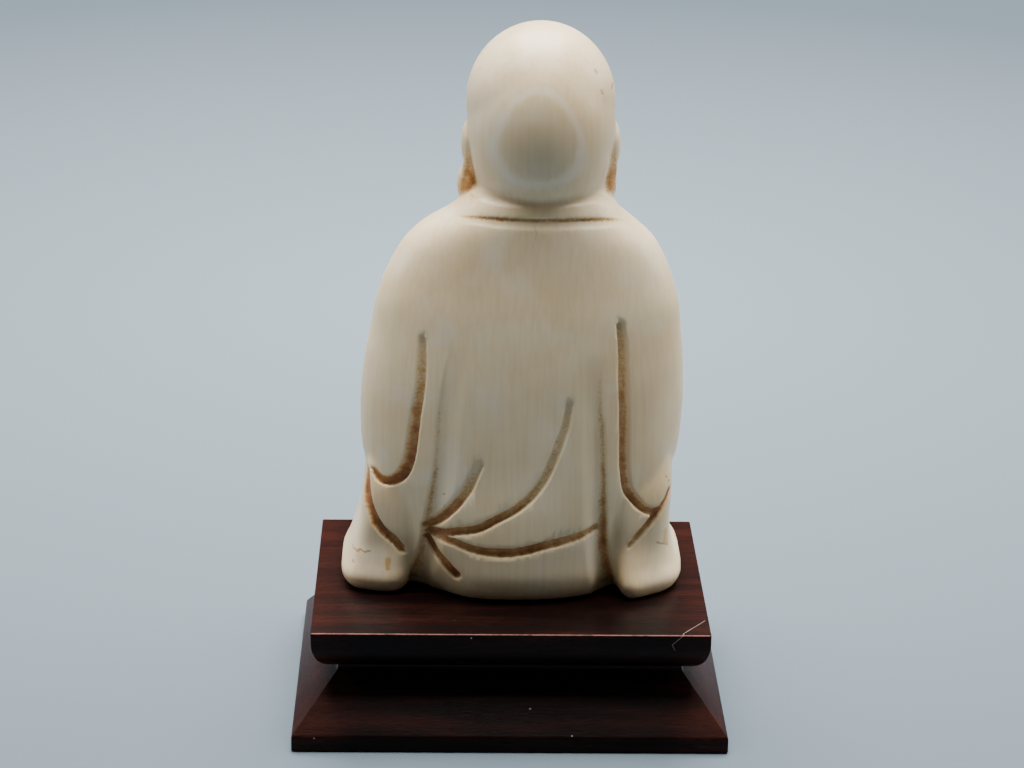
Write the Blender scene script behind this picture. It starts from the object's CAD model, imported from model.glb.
"""A seated figurine carved from ivory, resting on its moulded plinth of dark hardwood.

The figurine is worked as a carver works: rounded masses are joined into one skin, and the folds,
the face and the recesses are then cut along it. The brown that years have left in the cuts is kept
with the skin as an attribute. The plinth's moulding is run round its slab by Geometry Nodes.
"""

import logging
import math
from collections.abc import Iterable
from dataclasses import dataclass, replace
from enum import Enum

import bmesh
import bpy
import numpy as np
from mathutils import Matrix, Vector


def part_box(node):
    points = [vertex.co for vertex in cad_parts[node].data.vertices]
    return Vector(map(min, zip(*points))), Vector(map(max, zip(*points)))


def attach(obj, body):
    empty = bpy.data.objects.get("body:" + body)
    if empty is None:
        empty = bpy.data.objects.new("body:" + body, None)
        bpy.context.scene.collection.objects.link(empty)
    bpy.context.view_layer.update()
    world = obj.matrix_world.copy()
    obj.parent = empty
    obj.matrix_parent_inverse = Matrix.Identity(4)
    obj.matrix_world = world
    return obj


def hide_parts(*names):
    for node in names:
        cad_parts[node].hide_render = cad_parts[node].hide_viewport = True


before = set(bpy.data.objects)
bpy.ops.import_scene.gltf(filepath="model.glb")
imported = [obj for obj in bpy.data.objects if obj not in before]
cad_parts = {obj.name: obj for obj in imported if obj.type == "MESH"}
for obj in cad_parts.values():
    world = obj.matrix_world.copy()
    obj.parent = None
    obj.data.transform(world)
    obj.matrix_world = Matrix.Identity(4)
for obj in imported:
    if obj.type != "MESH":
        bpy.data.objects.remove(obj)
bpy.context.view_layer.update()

LOG = logging.getLogger("figurine")
MM = 0.001
Point = tuple[float, ...]
Run = tuple[Point, ...]
Tree = bpy.types.NodeTree
Socket = bpy.types.NodeSocket
Number = Socket | float


class Side(Enum):
    """The side of the figurine that a fold is drawn on. The value is the sign of Y there."""

    BACK = 1
    FRONT = -1


class Flank(Enum):
    """The figurine's own left and right. The value is the sign of X there."""

    LEFT = 1
    RIGHT = -1


def linear(colour: str) -> tuple[float, float, float, float]:
    """Turns an sRGB hex colour into the linear one that a shader takes.

    Args:
        colour: Six hex digits, such as "c8b89a".

    Returns:
        Red, green, blue and an alpha of 1.
    """
    parts = []
    for start in (0, 2, 4):
        value = int(colour[start:start + 2], 16) / 255
        parts.append(value / 12.92 if value <= 0.04045 else ((value + 0.055) / 1.055) ** 2.4)
    return (parts[0], parts[1], parts[2], 1.0)


def smoothstep(low: float, high: float, value: np.ndarray) -> np.ndarray:
    """Goes smoothly from 0 where a value is at low to 1 where it is at high."""
    share = np.clip((value - low) / (high - low), 0.0, 1.0)
    return share * share * (3.0 - 2.0 * share)


def smooth_path(points: Run, steps: int = 10) -> tuple[np.ndarray, np.ndarray]:
    """Runs a smooth curve through some points.

    Args:
        points: The points that the curve passes.
        steps: How many steps each span between two points takes.

    Returns:
        The points along the curve, and each one's share of its length.
    """
    ends = np.asarray(points, float)
    padded = np.vstack([2 * ends[0] - ends[1], ends, 2 * ends[-1] - ends[-2]])
    path = []
    for start in range(len(ends) - 1):
        a, b, c, d = padded[start:start + 4]
        for t in np.arange(steps) / steps:
            path.append(0.5 * (2 * b + (c - a) * t + (2 * a - 5 * b + 4 * c - d) * t * t
                               + (3 * b - a - 3 * c + d) * t ** 3))
    path.append(ends[-1])
    line = np.array(path)
    run = np.concatenate([[0.0], np.cumsum(np.linalg.norm(np.diff(line, axis=0), axis=1))])
    return line, run / run[-1]


def add_node(tree: Tree, kind: str, settings: dict | None = None,
             inputs: dict | None = None) -> bpy.types.Node:
    """Adds a node, sets it up and links what feeds it.

    Args:
        tree: The material's or the modifier's node tree.
        kind: The node's type.
        settings: Values of the node's own properties.
        inputs: What each input takes, by name or number: a value, or the output socket to link.

    Returns:
        The new node.
    """
    node = tree.nodes.new(kind)
    for name, value in (settings or {}).items():
        setattr(node, name, value)
    for name, value in (inputs or {}).items():
        socket = node.inputs[name]
        if isinstance(value, Socket):
            tree.links.new(value, socket)
        else:
            socket.default_value = value
    return node


def add_object(name: str, data: bpy.types.ID) -> bpy.types.Object:
    """Adds an object to the scene."""
    item = bpy.data.objects.new(name, data)
    bpy.context.scene.collection.objects.link(item)
    return item


def mesh_of(form: bmesh.types.BMesh, name: str) -> bpy.types.Mesh:
    """Turns a form into a mesh and frees it."""
    mesh = bpy.data.meshes.new(name)
    form.to_mesh(mesh)
    form.free()
    return mesh


def plain_mesh(item: bpy.types.Object) -> bpy.types.Mesh:
    """Returns the mesh that an object has after its modifiers."""
    bpy.context.view_layer.update()
    depsgraph = bpy.context.evaluated_depsgraph_get()
    return bpy.data.meshes.new_from_object(item.evaluated_get(depsgraph), depsgraph=depsgraph)


def evenly(values: Point | np.ndarray, along: np.ndarray) -> np.ndarray:
    """Returns what values listed at even steps from 0 to 1 come to at each share."""
    return np.interp(along, np.linspace(0, 1, len(values)), values)


class Recipe:
    """A material while it is worked out: its node tree, its shader and the sums that feed them."""

    def __init__(self, name: str) -> None:
        """Starts a material with one Principled shader and the object's coordinates.

        Args:
            name: The material's name.
        """
        self.material = bpy.data.materials.new(name)
        self.material.use_nodes = True
        self.tree = self.material.node_tree
        self.shader = self.tree.nodes["Principled BSDF"]
        self.place = add_node(self.tree, "ShaderNodeTexCoord").outputs["Object"]
        self.plain = self.in_millimetres()

    def in_millimetres(self, stretch: Point = (1.0, 1.0, 1.0), turn: Point = (0.0, 0.0, 0.0)) -> Socket:
        """Returns the object's own coordinates in millimetres, stretched and turned for a grain.

        Args:
            stretch: Factors along X, Y and Z.
            turn: Angles about X, Y and Z, in radians.

        Returns:
            The vector's output.
        """
        scale = tuple(factor / MM for factor in stretch)
        inputs = {"Vector": self.place, "Scale": scale, "Rotation": turn}
        return add_node(self.tree, "ShaderNodeMapping", inputs=inputs).outputs["Vector"]

    def ramp(self, factor: Socket, stops: tuple[tuple[float, str], ...]) -> Socket:
        """Adds a colour ramp.

        Args:
            factor: What the ramp reads.
            stops: Places from 0 to 1, each with its sRGB hex colour.

        Returns:
            The ramp's colour output.
        """
        node = add_node(self.tree, "ShaderNodeValToRGB", inputs={"Fac": factor})
        elements = node.color_ramp.elements
        while len(elements) < len(stops):
            elements.new(0.5)
        for element, (place, colour) in zip(elements, stops):
            element.position = place
            element.color = linear(colour)
        return node.outputs["Color"]

    def mixed(self, factor: Number, first: Socket, second: Socket | str, blend: str = "MIX") -> Socket:
        """Mixes two colours by a factor.

        Args:
            factor: How much of the second colour is taken.
            first: The first colour.
            second: The second colour, as an output or in sRGB hex.
            blend: The way they blend.

        Returns:
            The mixed colour's output.
        """
        laid = linear(second) if isinstance(second, str) else second
        node = add_node(self.tree, "ShaderNodeMix", {"data_type": "RGBA", "blend_type": blend},
                        {0: factor, 6: first, 7: laid})
        return node.outputs[2]

    def maths(self, operation: str, first: Number, second: Number = 0.0) -> Socket:
        """Adds one sum of numbers and returns its output."""
        node = add_node(self.tree, "ShaderNodeMath", {"operation": operation}, {0: first, 1: second})
        return node.outputs[0]

    def times(self, first: Number, second: Number) -> Socket:
        """Multiplies two numbers."""
        return self.maths("MULTIPLY", first, second)

    def plus(self, first: Number, second: Number) -> Socket:
        """Adds two numbers."""
        return self.maths("ADD", first, second)

    def minus(self, first: Number, second: Number) -> Socket:
        """Takes the second number from the first."""
        return self.maths("SUBTRACT", first, second)

    def vectors(self, operation: str, *values: Socket | Point) -> Socket:
        """Adds one sum of vectors.

        Args:
            operation: The name of the sum.
            values: The vectors that it takes, in order.

        Returns:
            The output with its result, which is a number for a length, a distance or a dot product.
        """
        node = add_node(self.tree, "ShaderNodeVectorMath", {"operation": operation}, dict(enumerate(values)))
        return node.outputs["Value" if operation in ("LENGTH", "DISTANCE", "DOT_PRODUCT") else "Vector"]

    def parts(self, vector: Socket) -> bpy.types.NodeOutputs:
        """Splits a vector into X, Y and Z."""
        return add_node(self.tree, "ShaderNodeSeparateXYZ", inputs={0: vector}).outputs

    def ranged(self, value: Socket, low: float, high: float, to_low: float = 0.0,
               to_high: float = 1.0) -> Socket:
        """Maps a value smoothly from one range to another.

        Args:
            value: What is mapped.
            low: Where the first range starts.
            high: Where it ends.
            to_low: Where the second range starts.
            to_high: Where it ends.

        Returns:
            The mapped value's output.
        """
        inputs = {"Value": value, "From Min": low, "From Max": high, "To Min": to_low, "To Max": to_high}
        node = add_node(self.tree, "ShaderNodeMapRange", {"interpolation_type": "SMOOTHSTEP"}, inputs)
        return node.outputs["Result"]

    def noise(self, vector: Socket, scale: float, detail: float = 2.0, roughness: float = 0.5,
              output: str = "Fac") -> Socket:
        """Adds a noise that reads a vector, and returns its value or its colour."""
        inputs = {"Vector": vector, "Scale": scale, "Detail": detail, "Roughness": roughness}
        return add_node(self.tree, "ShaderNodeTexNoise", inputs=inputs).outputs[output]

    def segment_distance(self, place: Socket, start: Point, end: Point) -> Socket:
        """Measures how far a place is from a straight stroke.

        Args:
            place: The place's vector.
            start: Where the stroke starts.
            end: Where it ends.

        Returns:
            The distance's output.
        """
        run = Vector(end) - Vector(start)
        off = self.vectors("SUBTRACT", place, start)
        along = self.vectors("DOT_PRODUCT", off, run / run.length_squared)
        share = self.maths("MINIMUM", self.maths("MAXIMUM", along, 0.0), 1.0)
        return self.vectors("DISTANCE", off, self.vectors("MULTIPLY", run, share))

    def strokes(self, place: Socket, runs: Iterable[Run], half_width: float) -> Socket:
        """Draws thin strokes along runs of points.

        Args:
            place: The place's vector, in millimetres.
            runs: The strokes, each a run of at least two points.
            half_width: Half the width of the strokes.

        Returns:
            An output that is 1 on the strokes and 0 away from them.
        """
        nearest = None
        for run in runs:
            for start, end in zip(run, run[1:]):
                distance = self.segment_distance(place, start, end)
                nearest = distance if nearest is None else self.maths("MINIMUM", nearest, distance)
        return self.ranged(nearest, half_width * 1.5, half_width * 0.5)

    def finish(self, colour: Socket, roughness: Number, constants: dict[str, float | Point]) -> None:
        """Feeds the shader.

        Args:
            colour: The base colour.
            roughness: The roughness.
            constants: Values of the shader's other sockets, by name.
        """
        self.tree.links.new(colour, self.shader.inputs["Base Color"])
        if isinstance(roughness, Socket):
            self.tree.links.new(roughness, self.shader.inputs["Roughness"])
        else:
            self.shader.inputs["Roughness"].default_value = roughness
        for name, value in constants.items():
            self.shader.inputs[name].default_value = value

    def add_relief(self, height: Socket, strength: float, depth_mm: float) -> None:
        """Gives the surface a fine relief.

        Args:
            height: The relief's height from 0 to 1.
            strength: How much of the relief is taken.
            depth_mm: How deep the full height is.
        """
        inputs = {"Strength": strength, "Distance": depth_mm * MM, "Height": height}
        bump = add_node(self.tree, "ShaderNodeBump", inputs=inputs)
        self.tree.links.new(bump.outputs["Normal"], self.shader.inputs["Normal"])


@dataclass(frozen=True)
class Mark:
    """Small marks of one kind on the back of the ivory.

    Their runs go across and up from the seat, in millimetres. Only what lies farther back than the
    start is marked.
    """

    runs: tuple[Run, ...]
    half_width: float
    strength: float
    colour: str
    start: float


@dataclass(frozen=True)
class CarvedIvory:
    """Elephant ivory, carved with gouges and polished by hand.

    It is a dense cream dentine. Light enters it a little, so its edges glow and its shadows are
    soft. It was grown in layers, which show as fine lines down the flat parts and as a ring where
    a layer is cut across on the back of the head. Handling keeps the high parts pale and shiny,
    and wax and dust have turned the cuts from gold to brown.
    """

    seat_mm: float
    pale: str = "f0dcb9"
    cream: str = "ecd5ac"
    shade: str = "e6cca0"
    growth_line: str = "e6dcc8"
    clouded: str = "ebe3d6"
    line_spacing_mm: float = 0.55
    line_stretch: float = 0.02
    mottle_mm: float = 9.0
    cloud_mm: float = 5.0
    pores_per_mm: float = 3.2
    lean_degrees: float = -3.5
    back_starts_mm: float = -5.0
    ring_place: Point = (-2.7, 0.0, 60.2)
    ring_half_width: float = 5.2
    ring_half_height: float = 6.1
    ring_taper: float = 0.045
    ring_colour: str = "efe6d6"
    heart_colour: str = "d0b98c"
    ring_strength: float = 0.4
    heart_strength: float = 0.28
    # Roughness where it is handled most and least, and what a full stain adds.
    polish: Point = (0.34, 0.44)
    stain_dulling: float = 0.3
    glow: float = 0.35
    glow_depth_mm: float = 1.2
    relief_mm: float = 0.04
    stain_stops: tuple[tuple[float, str], ...] = (
        (0.1, "e6cd9e"), (0.35, "d8b27a"), (0.6, "bd8850"), (0.8, "a06636"), (1.0, "7a4420"),
    )
    marks: tuple[Mark, ...] = (
        # Cracks in the feet of the sleeves, and bruises beside them.
        Mark((((20.6, 5.5), (20.0, 5.3), (19.5, 5.3), (19.1, 5.6), (18.6, 5.4), (17.9, 5.6)),
              ((-18.8, 7.0), (-20.3, 6.1))), 0.12, 0.75, "b47f3c", 2.0),
        Mark((((15.6, 4.7), (15.6, 3.6)), ((-19.9, 8.2), (-20.0, 6.6))), 0.32, 0.75, "cb9f57", 2.0),
        # A hairline in the collar, and pits.
        Mark((((-2.5, 49.0), (-2.6, 47.4)),), 0.08, 0.4, "a69b88", 0.0),
        Mark((((-19.7, 15.9), (-19.8, 15.7)), ((-20.1, 15.1), (-20.1, 15.0)), ((8.5, 14.6), (8.4, 14.5)),
              ((-5.6, 21.8), (-5.6, 21.6)), ((20.0, 3.8), (20.1, 4.0)), ((-9.6, 67.7), (-9.9, 67.2)),
              ((-10.4, 65.3), (-10.6, 64.8)), ((-12.0, 65.2), (-11.9, 64.9)), ((5.3, 55.2), (5.0, 54.2))),
             0.12, 0.65, "a87b45", -5.0),
    )

    def make(self) -> bpy.types.Material:
        """Builds the material.

        Returns:
            The finished material.
        """
        recipe = Recipe("carved ivory")
        lean = (0.0, math.radians(self.lean_degrees), 0.0)
        # The lines of growth, drawn out along the tusk.
        across = 1.0 / self.line_spacing_mm
        drawn_out = recipe.in_millimetres((across, across, across * self.line_stretch), lean)
        lines = recipe.noise(drawn_out, 1.0, 3.0, 0.6)
        mottle = recipe.noise(recipe.plain, 1.0 / self.mottle_mm)
        base = recipe.ramp(mottle, ((0.3, self.shade), (0.5, self.cream), (0.7, self.pale)))
        growth = recipe.ramp(lines, ((0.3, self.growth_line), (0.6, "ffffff")))
        base = recipe.mixed(0.3, base, growth, "MULTIPLY")
        cloud = recipe.ranged(recipe.noise(recipe.plain, 1.0 / self.cloud_mm), 0.54, 0.74, 0.0, 0.3)
        base = recipe.mixed(cloud, base, self.clouded)
        stain = add_node(recipe.tree, "ShaderNodeAttribute", {"attribute_name": "stain"}).outputs["Fac"]
        base = self.with_marks(recipe, self.with_ring(recipe, base))
        base = self.with_stain(recipe, base, stain)
        # The stained cuts are duller than the handled ivory between them.
        polish = recipe.ranged(mottle, 0.3, 0.7, *self.polish)
        roughness = recipe.plus(polish, recipe.times(stain, self.stain_dulling))
        recipe.finish(base, roughness, {"IOR": 1.54, "Subsurface Weight": self.glow,
                                        "Subsurface Scale": self.glow_depth_mm * MM,
                                        "Subsurface Radius": (1.0, 0.72, 0.45)})
        pores = recipe.noise(recipe.in_millimetres((1.0, 1.0, 0.25), lean), self.pores_per_mm, 3.0, 0.7)
        height = recipe.plus(recipe.times(lines, 0.5), recipe.times(pores, 0.6))
        recipe.add_relief(height, 0.22, self.relief_mm)
        return recipe.material

    def behind(self, recipe: Recipe, start: float) -> Socket:
        """Returns an output that is 0 in front of a depth in millimetres and 1 from 2 mm behind it."""
        return recipe.ranged(recipe.parts(recipe.plain)["Y"], start, start + 2.0)

    def with_ring(self, recipe: Recipe, base: Socket) -> Socket:
        """Lays the ring that a layer of growth makes on the back of the head.

        Args:
            recipe: The material.
            base: The colour so far.

        Returns:
            The colour with the pale ring and the darker heart inside it.
        """
        centre = Vector(self.ring_place) + Vector((0, 0, self.seat_mm))
        off = recipe.parts(recipe.vectors("SUBTRACT", recipe.plain, centre))
        # The ring narrows towards its top.
        tapered = recipe.times(off["X"], recipe.plus(recipe.times(off["Z"], self.ring_taper), 1.0))
        flat = add_node(recipe.tree, "ShaderNodeCombineXYZ", inputs={0: tapered, 2: off["Z"]}).outputs[0]
        scale = (1.0 / self.ring_half_width, 0.0, 1.0 / self.ring_half_height)
        reach = recipe.vectors("LENGTH", recipe.vectors("MULTIPLY", flat, scale))
        reach = recipe.plus(reach, recipe.times(recipe.noise(recipe.plain, 0.25, 1.0), 0.18))
        behind = self.behind(recipe, self.back_starts_mm)
        heart = recipe.times(recipe.ranged(reach, 1.04, 0.82), behind)
        edge = recipe.maths("ABSOLUTE", recipe.minus(reach, 1.07))
        ring = recipe.times(recipe.ranged(edge, 0.14, 0.02), behind)
        base = recipe.mixed(recipe.times(heart, self.heart_strength), base, self.heart_colour)
        return recipe.mixed(recipe.times(ring, self.ring_strength), base, self.ring_colour)

    def with_marks(self, recipe: Recipe, base: Socket) -> Socket:
        """Lays the cracks, bruises and pits.

        Args:
            recipe: The material.
            base: The colour so far.

        Returns:
            The colour with the marks.
        """
        # The strokes wander by up to a quarter of a millimetre.
        wander = recipe.noise(recipe.plain, 1.6, output="Color")
        wander = recipe.vectors("MULTIPLY_ADD", wander, (0.5, 0.5, 0.5), (-0.25, -0.25, -0.25 - self.seat_mm))
        spot = recipe.vectors("MULTIPLY", recipe.vectors("ADD", recipe.plain, wander), (1.0, 0.0, 1.0))
        for mark in self.marks:
            runs = [[(across, 0.0, up) for across, up in run] for run in mark.runs]
            cover = recipe.times(recipe.strokes(spot, runs, mark.half_width), self.behind(recipe, mark.start))
            base = recipe.mixed(recipe.times(cover, mark.strength), base, mark.colour)
        return base

    def with_stain(self, recipe: Recipe, base: Socket, stain: Socket) -> Socket:
        """Lays the brown into the cuts, broken up as wax and dust settle.

        Args:
            recipe: The material.
            base: The colour so far.
            stain: How strongly the carving is stained.

        Returns:
            The stained colour.
        """
        patches = recipe.ranged(recipe.noise(recipe.plain, 0.6, 2.0, 0.6), 0.3, 0.7, 0.8, 1.08)
        # Where the stain thins out it breaks into specks.
        specks = recipe.ranged(recipe.noise(recipe.plain, 3.2, 3.0, 0.8), 0.4, 0.62, 0.0, 0.42)
        thin = recipe.times(specks, recipe.minus(1.0, stain))
        depth = recipe.minus(recipe.times(stain, patches), thin)
        return recipe.mixed(recipe.ranged(depth, 0.0, 0.4), base, recipe.ramp(depth, self.stain_stops))


@dataclass(frozen=True)
class StainedHardwood:
    """A close-grained hardwood, stained almost black-red and waxed.

    The grain runs along the plinth's length in fine dark pores with redder wood between them. The
    wax gives a low shine that breaks over the pores. The slab's top arris is rubbed at the back.
    """

    half_width_mm: float
    half_depth_mm: float
    top_mm: float
    dark: str = "0d0504"
    body: str = "140706"
    red: str = "2a110c"
    orange: str = "482016"
    pore: str = "4a3a36"
    rubbed: str = "8a5a50"
    dust: str = "a39a92"
    figure_per_mm: float = 0.45
    pores_per_mm: float = 4.5
    specks_per_mm: float = 0.4
    red_end_mm: float = 7.0
    line_mm: float = 0.11
    fibre_half_mm: float = 0.05
    fibre_strength: float = 0.45
    # Roughness between the pores and over them.
    wax: Point = (0.4, 0.28)
    relief_mm: float = 0.08
    # A pale fibre caught in the wax near one corner: from the corner's end, side and top.
    fibre: Run = ((0.5, 4.5, 0.0), (3.5, 0.54, 0.0), (3.5, 0.0, 0.0), (4.9, 0.0, 1.3), (4.5, 0.0, 2.1))

    def make(self) -> bpy.types.Material:
        """Builds the material.

        Returns:
            The finished material.
        """
        recipe = Recipe("stained and waxed hardwood")
        figure = recipe.noise(recipe.in_millimetres((0.10, 1.0, 1.0)), self.figure_per_mm, 4.0, 0.6)
        pores = recipe.noise(recipe.in_millimetres((0.14, 1.0, 1.0)), self.pores_per_mm, 3.0, 0.7)
        base = recipe.ramp(figure, ((0.3, self.dark), (0.5, self.body), (0.72, self.red)))
        # The wood is redder towards the ends of the plinth.
        width = recipe.maths("ABSOLUTE", recipe.parts(recipe.plain)["X"])
        ends = recipe.ranged(width, self.half_width_mm - self.red_end_mm, self.half_width_mm, 0.0, 0.55)
        base = recipe.mixed(recipe.times(ends, figure), base, self.orange)
        base = recipe.mixed(0.7, base, recipe.ramp(pores, ((0.35, self.pore), (0.55, "ffffff"))), "MULTIPLY")
        base = recipe.mixed(self.rubbed_arris(recipe), base, self.rubbed)
        base = recipe.mixed(self.specks(recipe), base, self.dust)
        roughness = recipe.ranged(pores, 0.3, 0.7, *self.wax)
        recipe.finish(base, roughness, {"IOR": 1.5, "Specular IOR Level": 0.1})
        height = recipe.plus(recipe.times(pores, 0.7), recipe.times(figure, 0.4))
        recipe.add_relief(height, 0.35, self.relief_mm)
        return recipe.material

    def rubbed_arris(self, recipe: Recipe) -> Socket:
        """Finds the slab's top arris on the back, where a thin line of stain is rubbed through.

        Args:
            recipe: The material.

        Returns:
            How far the wood is rubbed.
        """
        ends = [(sign * self.half_width_mm, self.half_depth_mm, self.top_mm) for sign in (-1, 1)]
        broken = recipe.ranged(recipe.noise(recipe.plain, 0.5, 3.0, 0.7), 0.3, 0.55, 0.25, 1.0)
        return recipe.times(recipe.strokes(recipe.plain, (ends,), self.line_mm), broken)

    def specks(self, recipe: Recipe) -> Socket:
        """Scatters a few specks of dust and lays the fibre.

        Args:
            recipe: The material.

        Returns:
            How far the wood is covered.
        """
        inputs = {"Vector": recipe.plain, "Scale": self.specks_per_mm}
        cells = add_node(recipe.tree, "ShaderNodeTexVoronoi", inputs=inputs).outputs
        chance = add_node(recipe.tree, "ShaderNodeSeparateColor", inputs={0: cells["Color"]}).outputs[0]
        chosen = recipe.maths("GREATER_THAN", chance, 0.8)
        dust = recipe.times(recipe.ranged(cells["Distance"], 0.06, 0.02), chosen)
        run = [(end - self.half_width_mm, self.half_depth_mm - side, self.top_mm - drop)
               for end, side, drop in self.fibre]
        fibre = recipe.times(recipe.strokes(recipe.plain, (run,), self.fibre_half_mm), self.fibre_strength)
        return recipe.maths("MAXIMUM", dust, fibre)


@dataclass(frozen=True)
class PalePaper:
    """A sheet of matt pale paper, which lights what stands on it from below."""

    near: str = "74818a"
    far: str = "505b64"
    lit_place_mm: Point = (0.0, -160.0, 0.0)
    fade_per_mm: float = 0.0039

    def make(self) -> bpy.types.Material:
        """Builds the material.

        Returns:
            The finished material.
        """
        recipe = Recipe("pale matt paper")
        reach = recipe.times(recipe.vectors("DISTANCE", recipe.plain, self.lit_place_mm), self.fade_per_mm)
        tint = recipe.ramp(reach, ((0.1, self.near), (1.0, self.far)))
        recipe.finish(tint, 0.85, {"Specular IOR Level": 0.2})
        return recipe.material


@dataclass(frozen=True)
class Fold:
    """A groove: its run as (across, height) points, its width and depth, its swell and its stain.

    The swell and the stain list their shares of the full size at even steps along the run. Lean
    makes one wall steeper than the other: above 0 it widens the wall on the left of the run. The
    stain reaches over the wider wall by the share that soft_reach gives.
    """

    run: Run
    width: float
    depth: float
    swell: Point
    stain: Point = (1.0,)
    lean: float = 0.0
    soft_reach: float = 1.0

    def placed(self, flank: Flank, middle: float) -> "Fold":
        """Returns the fold on one side of a middle line."""
        run = tuple((middle + flank.value * x, z) for x, z in self.run)
        return replace(self, run=run, lean=self.lean * flank.value)


@dataclass(frozen=True)
class Mass:
    """A rounded mass: its place and radii, and its turn about Z in degrees."""

    place: Point
    radii: Point
    turn: float = 0.0

    def placed(self, flank: Flank, middle: float) -> "Mass":
        """Returns the mass on one side of a middle line."""
        place = (middle + flank.value * self.place[0], self.place[1], self.place[2])
        return replace(self, place=place, turn=self.turn * flank.value)


@dataclass(frozen=True)
class Mound:
    """A soft mound on the skin, or a hollow where its height is negative: its (across, up) place."""

    place: Point
    radii: Point
    height: float

    def placed(self, flank: Flank, middle: float) -> "Mound":
        """Returns the mound on one side of a middle line."""
        return replace(self, place=(middle + flank.value * self.place[0], self.place[1]))

    def over(self, drawn: np.ndarray) -> np.ndarray:
        """Returns the mound's height at each place, from the front or the back."""
        across = (drawn[:, 0] - self.place[0]) / self.radii[0]
        up = (drawn[:, 2] - self.place[1]) / self.radii[1]
        return self.height * np.exp(-(across * across + up * up))


@dataclass(frozen=True)
class Limb:
    """A tapered round form along a smooth curve: its points, and its radii at even steps."""

    points: Run
    radii: Point

    def placed(self, flank: Flank, middle: float) -> "Limb":
        """Returns the limb on one side of a middle line."""
        return replace(self, points=tuple((middle + flank.value * x, y, z) for x, y, z in self.points))


@dataclass(frozen=True)
class Loft:
    """A form skinned over level rings, each a row of height, left, right, back and front.

    A sleeve's row ends with its slant: how much farther back its outer edge lies than its inner one.
    Outward is the sign of X on its outer side.
    """

    levels: Run
    squareness: float
    widest: float
    outward: int = 0
    level_step: float = 0.5
    ring_points: int = 112

    def rows(self) -> list[np.ndarray]:
        """Fills in rows between the levels, on smooth curves.

        Returns:
            The rows from the lowest up, each like a level.
        """
        table = np.array(self.levels)
        heights = table[:, 0]
        slopes = np.gradient(table, heights, axis=0)
        count = math.ceil((heights[-1] - heights[0]) / self.level_step)
        rows = []
        for height in np.linspace(heights[0], heights[-1], count + 1):
            index = min(int(np.searchsorted(heights, height, side="right")) - 1, len(heights) - 2)
            gap = heights[index + 1] - heights[index]
            t = (height - heights[index]) / gap
            rows.append((2 * t ** 3 - 3 * t * t + 1) * table[index]
                        + (t ** 3 - 2 * t * t + t) * gap * slopes[index]
                        + (3 * t * t - 2 * t ** 3) * table[index + 1]
                        + (t ** 3 - t * t) * gap * slopes[index + 1])
        return rows

    def ring(self, row: np.ndarray) -> np.ndarray:
        """Returns one ring, a superellipse with unlike quarters.

        Args:
            row: The height, the reach to the left, the right, the back and the front, and any slant.

        Returns:
            The ring's points.
        """
        height, left, right, back, front = row[:5]
        slant = row[5] if len(row) > 5 else 0.0
        angle = 2 * math.pi * np.arange(self.ring_points) / self.ring_points
        power = 2 / self.squareness
        x = np.copysign(np.abs(np.cos(angle)) ** power, np.cos(angle))
        y = np.copysign(np.abs(np.sin(angle)) ** power, np.sin(angle))
        depth = np.where(y > 0, back - self.widest, self.widest - front)
        level = np.full(self.ring_points, height)
        set_back = slant * (1.0 + self.outward * x) / 2
        across = (left + right) / 2 + (left - right) / 2 * x
        return np.column_stack([across, self.widest + depth * y - set_back, level])


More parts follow.
